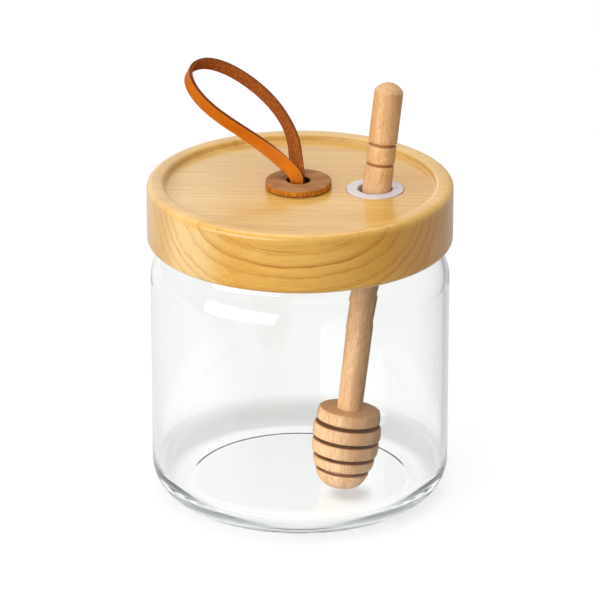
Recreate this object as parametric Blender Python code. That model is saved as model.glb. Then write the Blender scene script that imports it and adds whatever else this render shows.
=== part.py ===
# A clear glass storage jar with a turned pine lid. A wooden dipper stands in the jar through a
# soft ring in the lid, and a leather strap, folded into a loop, is the lid's handle.
# Units are metres and +Z is up. The origin is the middle of the jar's foot.
import math

import bmesh
import bpy
from mathutils import Vector
from mathutils.geometry import interpolate_bezier

MM = 0.001
PLAY = 0.3 * MM  # gap kept between pieces that touch

# Glass jar
JAR_RADIUS = 51.45 * MM
JAR_WALL = 2.0 * MM
JAR_RIM_HEIGHT = 102.2 * MM
NECK_RADIUS = 46.2 * MM
SHOULDER_START = 78.3 * MM
SHOULDER_ROUND = 13.0 * MM
NECK_ROUND = 3.0 * MM
BASE_ROUND = 11.6 * MM
FLOOR_HEIGHT = 4.0 * MM
FLOOR_ROUND = 9.0 * MM
FOOT_INNER_RADIUS = 38.4 * MM
PUNT_HEIGHT = 0.4 * MM

# Pine lid
LID_RADIUS = 52.5 * MM
LID_BOTTOM = 92.0 * MM
LID_TOP = 112.9 * MM
LID_TOP_ROUND = 2.0 * MM
LID_BOTTOM_ROUND = 1.7 * MM
TRAY_RADIUS = 46.3 * MM
TRAY_DEPTH = 2.2 * MM
TRAY_EDGE_ROUND = 0.5 * MM
SOCKET_RADIUS = 47.0 * MM
LID_TRAY = LID_TOP - TRAY_DEPTH
LID_CEILING = JAR_RIM_HEIGHT + PLAY

# Soft ring that the dipper stands in
RING_PLACE = (25.6 * MM, -1.9 * MM)
RING_FLANGE_RADIUS = 9.8 * MM
RING_FLANGE_THICK = 0.6 * MM
RING_SLEEVE_RADIUS = 7.4 * MM
RING_BORE_RADIUS = 6.0 * MM
RING_EDGE = 0.2 * MM
RING_SINK = 0.6 * MM
RING_HOLE_RADIUS = RING_SLEEVE_RADIUS + PLAY
RING_SEAT_RADIUS = RING_FLANGE_RADIUS + PLAY

# Dipper, with heights measured along its axis from the tip of the head
DIPPER_LENGTH = 144.6 * MM
DIPPER_TIP_PLACE = (13.9 * MM, -12.2 * MM)
DIPPER_LID_PLACE = (26.3 * MM, -1.8 * MM)
HANDLE_RADIUS = 4.95 * MM
HANDLE_NECK_RADIUS = 4.3 * MM
HANDLE_TAPER_END = 108.0 * MM
DOME_HEIGHT = 3.0 * MM
GROOVE_WIDTH = 1.2 * MM
GROOVE_DEPTH = 0.8 * MM
GROOVE_HEIGHTS = (123.3 * MM, 116.3 * MM)
HEAD_LENGTH = 28.4 * MM
# Each ring of the head: its upper height and radius, then its lower height and radius.
HEAD_RINGS = (
    (28.40 * MM, 10.65 * MM, 24.40 * MM, 10.95 * MM),
    (22.85 * MM, 11.50 * MM, 18.50 * MM, 11.75 * MM),
    (16.95 * MM, 11.50 * MM, 12.60 * MM, 11.20 * MM),
    (11.05 * MM, 10.65 * MM, 7.60 * MM, 9.95 * MM),
)
# The lowest ring is a bowl, by height and radius.
HEAD_BOWL = ((6.05, 9.20), (4.30, 8.70), (2.70, 7.85), (1.35, 6.65), (0.45, 5.20), (0.0, 3.60))
HEAD_RING_BULGE = 0.14 * MM
HEAD_RING_EDGE = 0.25 * MM
SLOT_RADIUS = 7.4 * MM

# Leather strap and the washer that it comes through
WASHER_PLACE = (-0.5 * MM, 0.1 * MM)
WASHER_RADIUS = 11.3 * MM
WASHER_THICK = 2.3 * MM
WASHER_EDGE = 0.5 * MM
WASHER_HOLE_EDGE = 0.2 * MM
STRAP_HOLE_RADIUS = 4.0 * MM
STRAP_WIDTH = 4.6 * MM
STRAP_THICK = 1.4 * MM
STRAP_EDGE = 0.25 * MM
STRAP_LEG_OFFSET = 1.3 * MM
STRAP_LEG_SHIFT = 0.4 * MM
STRAP_HOLE_SIDE = Vector((0.99, -0.12, 0.0)).normalized()
STRAP_LOOP_SIDE = Vector((0.40, -0.32, 0.86)).normalized()
STRAP_LOOP_RISE = Vector((-0.59, 0.62, 0.51))
STRAP_TURN_HEIGHT = 14.0 * MM

TURN_STEPS = 56


def material(name, colour, roughness, transmission=0.0):
    """Principled surface with one colour, roughness and clearness."""
    surface = bpy.data.materials.new(name)
    surface.use_nodes = True
    shader = surface.node_tree.nodes["Principled BSDF"]
    shader.inputs["Base Color"].default_value = (*colour, 1.0)
    shader.inputs["Roughness"].default_value = roughness
    shader.inputs["Metallic"].default_value = 0.0
    shader.inputs["Transmission Weight"].default_value = transmission
    surface.diffuse_color = (*colour, 1.0)
    return surface


def arc(centre, radius, start, end, steps):
    """Points of a circular arc in the (radius, height) plane, angles in degrees."""
    points = []
    for step in range(steps + 1):
        angle = math.radians(start + (end - start) * step / steps)
        points.append((centre[0] + radius * math.cos(angle), centre[1] + radius * math.sin(angle)))
    return points


def add_object(name, mesh, surface):
    """Puts a mesh into the scene as the piece of that name."""
    mesh.materials.append(surface)
    mesh.shade_smooth()
    mesh.set_sharp_from_angle(angle=math.radians(35))
    piece = bpy.data.objects.new(name, mesh)
    bpy.context.scene.collection.objects.link(piece)
    return piece


def turned(name, profile, surface, steps=TURN_STEPS, closed=False):
    """Turns a profile of (radius, height) points about the Z axis into a closed solid."""
    bm = bmesh.new()
    verts = [bm.verts.new((radius, 0.0, height)) for radius, height in profile]
    edges = [bm.edges.new(pair) for pair in zip(verts, verts[1:])]
    if closed:
        edges.append(bm.edges.new((verts[-1], verts[0])))
    bmesh.ops.spin(
        bm,
        geom=verts + edges,
        cent=(0.0, 0.0, 0.0),
        axis=(0.0, 0.0, 1.0),
        angle=math.tau,
        steps=steps,
        use_merge=True,
    )
    bmesh.ops.remove_doubles(bm, verts=bm.verts, dist=0.01 * MM)
    bmesh.ops.recalc_face_normals(bm, faces=bm.faces)
    mesh = bpy.data.meshes.new(name)
    bm.to_mesh(mesh)
    bm.free()
    return add_object(name, mesh, surface)


def cut_hole(piece, place, radius, bottom=0.0):
    """Cuts an upright round hole into a piece from above, down to the height given."""
    depth = 2.0 * LID_TOP - bottom
    bm = bmesh.new()
    bmesh.ops.create_cone(
        bm, cap_ends=True, segments=32, radius1=radius, radius2=radius, depth=depth
    )
    mesh = bpy.data.meshes.new("hole_cutter")
    bm.to_mesh(mesh)
    bm.free()
    cutter = bpy.data.objects.new("hole_cutter", mesh)
    cutter.location = (place[0], place[1], bottom + 0.5 * depth)
    cutter.display_type = "WIRE"
    cutter.hide_render = True
    bpy.context.scene.collection.objects.link(cutter)
    cut = piece.modifiers.new("Hole", "BOOLEAN")
    cut.operation = "DIFFERENCE"
    cut.solver = "EXACT"
    cut.object = cutter


def jar_wall_line(inset):
    """Neck, shoulder and wall line, top to bottom, moved inwards by inset."""
    outer_round = SHOULDER_ROUND - inset
    neck_round = NECK_ROUND + inset
    reach = SHOULDER_ROUND + NECK_ROUND
    slope = math.degrees(math.acos(1.0 - (JAR_RADIUS - NECK_RADIUS) / reach))
    neck_end = SHOULDER_START + reach * math.sin(math.radians(slope))
    neck_centre = (NECK_RADIUS + NECK_ROUND, neck_end)
    shoulder_centre = (JAR_RADIUS - SHOULDER_ROUND, SHOULDER_START)
    line = arc(neck_centre, neck_round, 180.0, 180.0 + slope, 3)
    line += arc(shoulder_centre, outer_round, slope, 0.0, 5)[1:]
    return line


def glass_jar():
    """Jar with a thick base, a small foot ring, a round shoulder and a straight neck."""
    rim_round = 0.5 * JAR_WALL
    rim_centre = (NECK_RADIUS - rim_round, JAR_RIM_HEIGHT - rim_round)
    inner_radius = JAR_RADIUS - JAR_WALL
    profile = [(0.0, FLOOR_HEIGHT)]
    profile += arc(
        (inner_radius - FLOOR_ROUND, FLOOR_HEIGHT + FLOOR_ROUND), FLOOR_ROUND, -90.0, 0.0, 5
    )
    profile += jar_wall_line(JAR_WALL)[::-1]
    profile += arc(rim_centre, rim_round, 180.0, 0.0, 6)
    profile += jar_wall_line(0.0)
    profile += arc((JAR_RADIUS - BASE_ROUND, BASE_ROUND), BASE_ROUND, 0.0, -90.0, 6)
    profile += [(FOOT_INNER_RADIUS, 0.0)]
    profile += [(FOOT_INNER_RADIUS - PUNT_HEIGHT, PUNT_HEIGHT)]
    profile += [(0.0, PUNT_HEIGHT)]
    return turned("glass_jar", profile, material("clear_glass", (0.93, 0.96, 0.95), 0.02, 1.0))


def lid():
    """Lid with a shallow tray on top and a socket below that drops over the jar's neck."""
    profile = [(0.0, LID_TRAY), (TRAY_RADIUS - TRAY_EDGE_ROUND, LID_TRAY)]
    profile += [(TRAY_RADIUS, LID_TRAY + TRAY_EDGE_ROUND)]
    profile += arc(
        (TRAY_RADIUS + TRAY_EDGE_ROUND, LID_TOP - TRAY_EDGE_ROUND), TRAY_EDGE_ROUND, 180.0, 90.0, 2
    )
    profile += arc(
        (LID_RADIUS - LID_TOP_ROUND, LID_TOP - LID_TOP_ROUND), LID_TOP_ROUND, 90.0, 0.0, 4
    )
    profile += arc(
        (LID_RADIUS - LID_BOTTOM_ROUND, LID_BOTTOM + LID_BOTTOM_ROUND),
        LID_BOTTOM_ROUND,
        0.0,
        -90.0,
        4,
    )
    profile += [(SOCKET_RADIUS + TRAY_EDGE_ROUND, LID_BOTTOM)]
    profile += [(SOCKET_RADIUS, LID_BOTTOM + TRAY_EDGE_ROUND)]
    profile += [(SOCKET_RADIUS, LID_CEILING), (0.0, LID_CEILING)]
    piece = turned("lid", profile, material("pine", (0.80, 0.56, 0.29), 0.45))
    cut_hole(piece, RING_PLACE, RING_SEAT_RADIUS, LID_TRAY - RING_SINK)
    cut_hole(piece, RING_PLACE, RING_HOLE_RADIUS)
    cut_hole(piece, WASHER_PLACE, STRAP_HOLE_RADIUS)
    return piece


def dipper_ring():
    """Soft flanged ring, let into the lid, with a bore wide enough for the dipper to lean in."""
    bottom = LID_TRAY - RING_SINK + PLAY
    top = bottom + RING_FLANGE_THICK
    edge = RING_EDGE
    profile = [(RING_FLANGE_RADIUS - edge, top), (RING_FLANGE_RADIUS, top - edge)]
    profile += [(RING_FLANGE_RADIUS, bottom), (RING_SLEEVE_RADIUS, bottom)]
    profile += [(RING_SLEEVE_RADIUS, LID_CEILING), (RING_BORE_RADIUS, LID_CEILING)]
    profile += [(RING_BORE_RADIUS, top - edge), (RING_BORE_RADIUS + edge, top)]
    surface = material("soft_ring", (0.62, 0.60, 0.66), 0.4)
    piece = turned("spoon_grommet", profile, surface, steps=40, closed=True)
    piece.location = (RING_PLACE[0], RING_PLACE[1], 0.0)
    return piece


def handle_radius(height):
    """The handle widens evenly from the head to the lid, then stays even."""
    share = (height - HEAD_LENGTH) / (HANDLE_TAPER_END - HEAD_LENGTH)
    share = min(1.0, max(0.0, share))
    return HANDLE_NECK_RADIUS + (HANDLE_RADIUS - HANDLE_NECK_RADIUS) * share


def handle_profile():
    """Domed end, two cut grooves and the tapered shaft, top to bottom."""
    dome_edge = DIPPER_LENGTH - DOME_HEIGHT
    ball = (HANDLE_RADIUS**2 + DOME_HEIGHT**2) / (2.0 * DOME_HEIGHT)
    dome_angle = math.degrees(math.asin(HANDLE_RADIUS / ball))
    line = [(0.0, DIPPER_LENGTH)]
    line += arc((0.0, DIPPER_LENGTH - ball), ball, 90.0, 90.0 - dome_angle, 4)[1:]
    line += [(HANDLE_RADIUS, dome_edge - PLAY)]
    for height in GROOVE_HEIGHTS:
        wide = handle_radius(height)
        half = 0.5 * GROOVE_WIDTH
        line += [(wide, height + half), (wide - GROOVE_DEPTH, height + 0.6 * half)]
        line += [(wide - GROOVE_DEPTH, height - 0.6 * half), (wide, height - half)]
    line += [(HANDLE_RADIUS, HANDLE_TAPER_END), (HANDLE_NECK_RADIUS, HEAD_LENGTH)]
    return line


def head_profile():
    """Five rings between four deep slots, top to bottom; the lowest one is a bowl."""
    line = []
    for index, (high, upper, low, lower) in enumerate(HEAD_RINGS):
        if index > 0:
            line += [(SLOT_RADIUS, high)]
        line += [(upper - HEAD_RING_EDGE, high), (upper, high - HEAD_RING_EDGE)]
        line += [(0.5 * (upper + lower) + HEAD_RING_BULGE, 0.5 * (high + low))]
        line += [(lower, low), (SLOT_RADIUS, low)]
    bowl = [(radius * MM, height * MM) for height, radius in HEAD_BOWL]
    line += [(SLOT_RADIUS, bowl[0][1]), (bowl[0][0] - HEAD_RING_EDGE, bowl[0][1])]
    line += [(bowl[0][0], bowl[0][1] - HEAD_RING_EDGE)]
    return line + bowl[1:] + [(0.0, 0.0)]


def honey_dipper():
    """The dipper, turned about its own axis and leant from the jar's floor through the ring."""
    profile = handle_profile() + head_profile()
    surface = material("beech", (0.78, 0.55, 0.34), 0.5)
    piece = turned("honey_dipper", profile, surface, steps=28)
    rise = LID_TRAY - FLOOR_HEIGHT
    lean = Vector(
        (DIPPER_LID_PLACE[0] - DIPPER_TIP_PLACE[0], DIPPER_LID_PLACE[1] - DIPPER_TIP_PLACE[1], rise)
    ).normalized()
    lowest = min(height * lean.z - radius * math.sqrt(1.0 - lean.z**2) for radius, height in profile)
    piece.location = (DIPPER_TIP_PLACE[0], DIPPER_TIP_PLACE[1], FLOOR_HEIGHT + PLAY - lowest)
    piece.rotation_mode = "QUATERNION"
    piece.rotation_quaternion = Vector((0.0, 0.0, 1.0)).rotation_difference(lean)
    return piece


def strap_washer():
    """Flat leather washer round the strap's foot."""
    bottom = LID_TRAY + PLAY
    top = bottom + WASHER_THICK
    inner = STRAP_HOLE_RADIUS
    profile = [(WASHER_RADIUS - WASHER_EDGE, top), (WASHER_RADIUS, top - WASHER_EDGE)]
    profile += [(WASHER_RADIUS, bottom + WASHER_EDGE), (WASHER_RADIUS - WASHER_EDGE, bottom)]
    profile += [(inner, bottom), (inner, top - WASHER_HOLE_EDGE), (inner + WASHER_HOLE_EDGE, top)]
    surface = material("leather_washer", (0.36, 0.19, 0.10), 0.75)
    piece = turned("strap_washer", profile, surface, steps=40, closed=True)
    piece.location = (WASHER_PLACE[0], WASHER_PLACE[1], 0.0)
    return piece


def strap_route():
    """Centre line of the strap, up one leg, round the loop and down the other leg."""
    foot = Vector((*WASHER_PLACE, LID_TRAY + PLAY + WASHER_THICK))
    up = Vector((0.0, 0.0, 1.0))
    apart = up.cross(STRAP_HOLE_SIDE)
    along = (STRAP_LOOP_RISE - STRAP_LOOP_RISE.project(STRAP_LOOP_SIDE)).normalized()
    across = STRAP_LOOP_SIDE.cross(along)

    def on_loop(length, side):
        return foot + along * length * MM + across * side * MM

    def leg(sign):
        top = foot - STRAP_HOLE_SIDE * STRAP_LEG_SHIFT + apart * sign * STRAP_LEG_OFFSET
        bottom = Vector((top.x, top.y, LID_CEILING))
        return top, bottom

    front_top, front_bottom = leg(-1.0)
    back_top, back_bottom = leg(1.0)
    # Each stretch is a Bezier curve: its start, two handles and its end, then its steps.
    stretches = (
        (front_bottom, front_bottom.lerp(front_top, 0.3), front_bottom.lerp(front_top, 0.7), front_top, 3),
        (front_top, front_top + up * 3.0 * MM, on_loop(12.3, 0.7), on_loop(19.3, 3.3), 8),
        (on_loop(19.3, 3.3), on_loop(27.3, 6.3), on_loop(34.3, 11.7), on_loop(43.8, 11.7), 8),
        (on_loop(43.8, 11.7), on_loop(52.2, 11.7), on_loop(57.9, 7.2), on_loop(57.7, -0.5), 10),
        (on_loop(57.7, -0.5), on_loop(57.4, -9.8), on_loop(44.5, -15.9), on_loop(33.8, -15.9), 10),
        (on_loop(33.8, -15.9), on_loop(24.8, -15.9), on_loop(17.6, -12.6), on_loop(11.6, -8.2), 7),
        (on_loop(11.6, -8.2), on_loop(7.3, -5.1), back_top + up * 4.0 * MM, back_top, 7),
        (back_top, back_top.lerp(back_bottom, 0.3), back_top.lerp(back_bottom, 0.7), back_bottom, 3),
    )
    points = []
    for start, first, second, end, steps in stretches:
        points += interpolate_bezier(start, first, second, end, steps + 1)[:-1]
    points.append(stretches[-1][3])
    return points, foot.z


def strap_loop():
    """Flat strap carried along its route. Its width turns from the hole's way to the loop's."""
    points, foot_height = strap_route()
    half = 0.5 * STRAP_WIDTH
    deep = 0.5 * STRAP_THICK
    edge = STRAP_EDGE
    section = [(half, -deep + edge), (half, deep - edge), (half - edge, deep), (-half + edge, deep)]
    section += [(-side, -depth) for side, depth in section]
    bm = bmesh.new()
    rings = []
    for index, point in enumerate(points):
        before = points[max(index - 1, 0)]
        after = points[min(index + 1, len(points) - 1)]
        run = (after - before).normalized()
        share = min(1.0, max(0.0, (point.z - foot_height) / STRAP_TURN_HEIGHT))
        share = share * share * (3.0 - 2.0 * share)
        side = STRAP_HOLE_SIDE.lerp(STRAP_LOOP_SIDE, share)
        side = (side - side.project(run)).normalized()
        depth = run.cross(side)
        rings.append([bm.verts.new(point + side * x + depth * y) for x, y in section])
    for lower, upper in zip(rings, rings[1:]):
        for index in range(len(section)):
            after = (index + 1) % len(section)
            bm.faces.new((lower[index], lower[after], upper[after], upper[index]))
    bm.faces.new(rings[0][::-1])
    bm.faces.new(rings[-1])
    bmesh.ops.recalc_face_normals(bm, faces=bm.faces)
    mesh = bpy.data.meshes.new("strap_loop")
    bm.to_mesh(mesh)
    bm.free()
    return add_object("strap_loop", mesh, material("tan_leather", (0.72, 0.27, 0.06), 0.5))


def main():
    """Clears the scene and builds the jar with everything on it."""
    for item in list(bpy.data.objects):
        bpy.data.objects.remove(item, do_unlink=True)
    glass_jar()
    lid()
    dipper_ring()
    honey_dipper()
    strap_washer()
    strap_loop()


main()
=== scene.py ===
import math

import bmesh
import bpy
import numpy as np
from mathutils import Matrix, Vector


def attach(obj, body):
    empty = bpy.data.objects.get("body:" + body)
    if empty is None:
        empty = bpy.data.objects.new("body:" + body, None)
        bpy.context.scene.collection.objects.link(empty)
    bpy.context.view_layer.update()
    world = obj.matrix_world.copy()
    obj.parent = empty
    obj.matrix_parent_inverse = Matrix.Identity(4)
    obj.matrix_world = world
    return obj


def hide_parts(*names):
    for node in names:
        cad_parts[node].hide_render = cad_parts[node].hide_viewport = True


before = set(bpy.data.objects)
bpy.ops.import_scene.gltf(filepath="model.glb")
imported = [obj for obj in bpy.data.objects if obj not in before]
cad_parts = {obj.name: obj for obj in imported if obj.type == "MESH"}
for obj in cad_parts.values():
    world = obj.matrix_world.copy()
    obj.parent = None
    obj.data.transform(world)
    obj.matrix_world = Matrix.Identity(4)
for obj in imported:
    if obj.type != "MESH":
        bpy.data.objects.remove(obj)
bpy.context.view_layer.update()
scene = bpy.context.scene
mm = 0.001
print("packed parts loaded:", ", ".join(sorted(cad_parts)))


def bothWays(operation):
    # an operator with the wire first, and its reflected form with the wire second
    return (
        lambda wire, other: wire.maths(operation, wire, other),
        lambda wire, other: wire.maths(operation, other, wire),
    )


class Wire:
    # one output of a node; + - * / ** and the methods below each add one Math node
    __add__, __radd__ = bothWays("ADD")
    __sub__, __rsub__ = bothWays("SUBTRACT")
    __mul__, __rmul__ = bothWays("MULTIPLY")
    __truediv__, __rtruediv__ = bothWays("DIVIDE")
    __pow__, __rpow__ = bothWays("POWER")

    def __init__(self, board, socket):
        self.board = board
        self.socket = socket

    def maths(self, operation, *values):
        return self.board.add("Math", {"operation": operation}, dict(enumerate(values)))

    def __abs__(self):
        return self.maths("ABSOLUTE", self)

    def floor(self):
        return self.maths("FLOOR", self)

    def smaller(self, other):
        return self.maths("MINIMUM", self, other)

    def larger(self, other):
        return self.maths("MAXIMUM", self, other)


class Board:
    # the node board of one material, or of the room's light
    def __init__(self, name, room=False):
        self.owner = bpy.data.worlds.new(name) if room else bpy.data.materials.new(name)
        self.owner.use_nodes = True
        self.tree = self.owner.node_tree
        self.tree.nodes.clear()

    def add(self, kind, settings=None, sockets=None, out=0):
        # any node: its settings first, then the values or links of its sockets
        node = self.tree.nodes.new("ShaderNode" + kind)
        for key, value in (settings or {}).items():
            setattr(node, key, value)
        for key, value in (sockets or {}).items():
            if isinstance(value, Wire):
                self.tree.links.new(value.socket, node.inputs[key])
            else:
                node.inputs[key].default_value = value
        return Wire(self, node.outputs[out]) if node.outputs else None

    def place(self):
        return self.add("TexCoord", out="Object")

    def mark(self, name):
        return self.add("Attribute", {"attribute_name": name}, out="Vector")

    def split(self, vector):
        # the three numbers of a vector, each as a wire
        first = self.add("SeparateXYZ", None, {0: vector})
        return [Wire(self, socket) for socket in first.socket.node.outputs]

    def noise(self, vector, grain, detail=2.0, rough=0.5, distort=0.0):
        # grain is how fast the noise changes: one number, or one for each of three directions
        if isinstance(grain, tuple):
            vector = self.add("VectorMath", {"operation": "MULTIPLY"}, {0: vector, 1: grain})
            grain = 1.0
        sockets = {"Vector": vector, "Scale": grain, "Detail": detail, "Roughness": rough}
        return self.add("TexNoise", None, {**sockets, "Distortion": distort})

    def lineNoise(self, value, grain, detail=1.0):
        # noise along one number
        sockets = {"W": value, "Scale": grain, "Detail": detail}
        return self.add("TexNoise", {"noise_dimensions": "1D"}, sockets)

    def step(self, value, low, high, start=0.0, end=1.0):
        # smooth change from start to end as the value goes from low to high, which may be lower
        sockets = {"Value": value, "From Min": low, "From Max": high, "To Min": start, "To Max": end}
        return self.add("MapRange", {"interpolation_type": "SMOOTHSTEP"}, sockets)

    def mix(self, factor, first, second, blend="MIX"):
        # two colours; plain tuples are made opaque
        first, second = [(*c, 1.0) if isinstance(c, tuple) else c for c in (first, second)]
        settings = {"data_type": "RGBA", "blend_type": blend}
        return self.add("Mix", settings, {0: factor, 6: first, 7: second}, out=2)

    def grey(self, value):
        return self.add("CombineColor", None, {0: value, 1: value, 2: value})

    def bump(self, height, distance, strength=0.5):
        sockets = {"Height": height, "Distance": distance, "Strength": strength}
        return self.add("Bump", None, sockets)

    def finish(self, sockets, **others):
        surface = self.add("BsdfPrincipled", None, sockets)
        self.add("OutputMaterial", None, {"Surface": surface, **others})
        return self.owner


def between(start, end, share):
    # start where share is 0 and end where it is 1; each is a number, an array or a wire
    return start + share * (end - start)


def arcLine(centre, radius, start, end, steps):
    # points of a circular arc: the centre plus radius times cosine and sine of even angles
    angles = np.radians(np.linspace(start, end, steps + 1))
    across = centre[0] + radius * np.cos(angles)
    return np.stack([across, centre[1] + radius * np.sin(angles)], axis=1)


def joinLines(*lines):
    # profile lines put end to end, without points that repeat the one before
    line = np.concatenate([np.atleast_2d(np.asarray(part, float)) for part in lines])
    keep = np.linalg.norm(np.diff(line, axis=0), axis=1) > 0.002 * mm
    return line[np.concatenate([[True], keep])]


def roundLine(line, reach, steps=3):
    # each inner corner becomes a short curve: (1-t)^2 before + 2t(1-t) corner + t^2 after, where
    # before and after lie on the two sides, at most reach away from the corner
    corner = line[1:-1]
    back = line[:-2] - corner
    ahead = line[2:] - corner
    backSize = np.linalg.norm(back, axis=1, keepdims=True)
    aheadSize = np.linalg.norm(ahead, axis=1, keepdims=True)
    cut = np.minimum(reach, 0.45 * np.minimum(backSize, aheadSize))
    before = corner + back * cut / backSize
    after = corner + ahead * cut / aheadSize
    t = np.linspace(0.0, 1.0, steps + 1)[None, :, None]
    curve = before[:, None] * (1 - t) ** 2 + corner[:, None] * 2 * t * (1 - t)
    curve = curve + after[:, None] * t**2
    return np.concatenate([line[:1], curve.reshape(-1, line.shape[1]), line[-1:]])


def refineLine(line, spacing):
    # each stretch of a line cut into equal steps no longer than spacing
    size = np.linalg.norm(np.diff(line, axis=0), axis=1)
    steps = np.maximum(1, np.ceil(size / spacing).astype(int))
    index = np.repeat(np.arange(len(steps)), steps)
    within = np.arange(len(index)) - np.repeat(np.cumsum(steps) - steps, steps)
    share = (within / steps[index])[:, None]
    return np.concatenate([between(line[index], line[index + 1], share), line[-1:]])


def turnGrid(profile, columns):
    # a profile turned about Z: x = radius cos angle, y = radius sin angle, z = height
    angles = np.linspace(0.0, 2.0 * np.pi, columns, endpoint=False)
    radius = profile[:, :1]
    height = np.broadcast_to(profile[:, 1:2], (len(profile), columns))
    return np.stack([radius * np.cos(angles), radius * np.sin(angles), height], axis=2)


def gridFaces(rows, columns, wrapRows, wrapColumns):
    # the four corners of every cell of a grid, counted row by row
    row = np.arange(rows if wrapRows else rows - 1)[:, None]
    column = np.arange(columns if wrapColumns else columns - 1)[None, :]
    nextRow = (row + 1) % rows
    nextColumn = (column + 1) % columns
    near = row * columns
    far = nextRow * columns
    cells = [near + column, near + nextColumn, far + nextColumn, far + column]
    return np.stack(cells, axis=2).reshape(-1, 4)


def patch(points, wrapRows=False, wrapColumns=True):
    # a grid of points with its faces
    return points, gridFaces(*points.shape[:2], wrapRows, wrapColumns)


def makePiece(name, patches, surface, node, sharp=35.0, marks=None):
    # joins the patches, merges what meets, turns the faces outwards and stands in for a node
    points = np.concatenate([grid.reshape(-1, 3) for grid, faces in patches])
    starts = np.cumsum([0] + [grid[..., 0].size for grid, faces in patches])
    faces = np.concatenate([faces + start for (grid, faces), start in zip(patches, starts)])
    mesh = bpy.data.meshes.new(name)
    mesh.from_pydata(points.tolist(), [], faces.tolist())
    for key, values in (marks or {}).items():
        attribute = mesh.attributes.new(key, "FLOAT_VECTOR", "POINT")
        attribute.data.foreach_set("vector", np.asarray(values, np.float32).ravel())
    bm = bmesh.new()
    bm.from_mesh(mesh)
    bmesh.ops.remove_doubles(bm, verts=bm.verts, dist=0.001 * mm)
    bmesh.ops.recalc_face_normals(bm, faces=bm.faces)
    bm.to_mesh(mesh)
    bm.free()
    mesh.shade_smooth()
    mesh.set_sharp_from_angle(angle=math.radians(sharp))
    mesh.materials.append(surface)
    piece = bpy.data.objects.new(name, mesh)
    scene.collection.objects.link(piece)
    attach(piece, "root")
    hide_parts(node)


jarSize = {
    "radius": 51.45 * mm,
    "wall": 2.0 * mm,
    "rimHeight": 102.2 * mm,
    "neckRadius": 46.2 * mm,
    "shoulderStart": 78.3 * mm,
    "shoulderRound": 13.0 * mm,
    "neckRound": 6.0 * mm,
    "baseRound": 11.6 * mm,
    "floorHeight": 4.0 * mm,
    "floorRound": 9.0 * mm,
    "footInner": 38.4 * mm,
    "footEdge": 0.25 * mm,
    "footLead": 1.0 * mm,
    "puntHeight": 0.4 * mm,
    "puntSlope": 1.05 * mm,
    "puntLead": 2.0 * mm,
    "meshStep": 4.0 * mm,
    "columns": 256,
}

glassLook = {
    "tint": (0.982, 0.985, 0.980),
    "tintShade": (0.976, 0.980, 0.973),
    "tintGrain": 20.0,
    "waveGrain": 34.0,
    "waveDepth": 0.012 * mm,
    "index": 1.5,
    "absorbColour": (0.78, 0.90, 0.84, 1.0),
    "absorbDensity": 5.0,
}


def jarWallLine(inset):
    # neck, shoulder and wall, top to bottom, moved inwards by inset: a hollow arc, then a full one
    size = jarSize
    reach = size["shoulderRound"] + size["neckRound"]
    drop = (size["radius"] - size["neckRadius"]) / reach
    slope = math.degrees(math.acos(1.0 - drop))
    neckEnd = size["shoulderStart"] + reach * math.sin(math.radians(slope))
    neckCentre = (size["neckRadius"] + size["neckRound"], neckEnd)
    shoulderCentre = (size["radius"] - size["shoulderRound"], size["shoulderStart"])
    neck = arcLine(neckCentre, size["neckRound"] + inset, 180.0, 180.0 + slope, 10)
    shoulder = arcLine(shoulderCentre, size["shoulderRound"] - inset, slope, 0.0, 20)
    return joinLines(neck, shoulder)


def jarProfile():
    # closed line from the floor's middle up the inside, over the rim and down to the foot
    size = jarSize
    wall = size["wall"]
    inner = size["radius"] - wall
    floorRound = size["floorRound"]
    floorCentre = (inner - floorRound, size["floorHeight"] + floorRound)
    rimCentre = (size["neckRadius"] - 0.5 * wall, size["rimHeight"] - 0.5 * wall)
    baseCentre = (size["radius"] - size["baseRound"], size["baseRound"])
    punt = size["puntHeight"]
    foot = size["footInner"]
    inside = foot - size["puntSlope"]
    lowered = [[foot + size["footLead"], 0.0], [foot, 0.0]]
    raised = [[inside, punt], [inside - size["puntLead"], punt]]
    return joinLines(
        (0.0, size["floorHeight"]),
        arcLine(floorCentre, floorRound, -90.0, 0.0, 28),
        jarWallLine(wall)[::-1],
        arcLine(rimCentre, 0.5 * wall, 180.0, 0.0, 12),
        jarWallLine(0.0),
        arcLine(baseCentre, size["baseRound"], 0.0, -90.0, 36),
        roundLine(np.array(lowered + raised), size["footEdge"], 4),
        (0.0, punt),
    )


def glassMaterial():
    # clear pressed glass: slow waves in the surface, hardly any tint, greener where it is thick
    look = glassLook
    board = Board("clearGlass")
    spot = board.place()
    waves = board.noise(spot, look["waveGrain"], 1.0)
    tone = board.noise(spot, look["tintGrain"])
    sockets = {
        "Base Color": board.mix(tone, look["tint"], look["tintShade"]),
        "Roughness": 0.0,
        "IOR": look["index"],
        "Transmission Weight": 1.0,
        "Normal": board.bump(waves, look["waveDepth"], 1.0),
    }
    absorb = {"Color": look["absorbColour"], "Density": look["absorbDensity"]}
    return board.finish(sockets, Volume=board.add("VolumeAbsorption", None, absorb))


def makeJar():
    profile = refineLine(jarProfile(), jarSize["meshStep"])
    grid = turnGrid(profile, jarSize["columns"])
    surface = glassMaterial()
    makePiece("jarGlass", [patch(grid)], surface, "glass_jar", sharp=60.0)


makeJar()
print("glass jar made")


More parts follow.
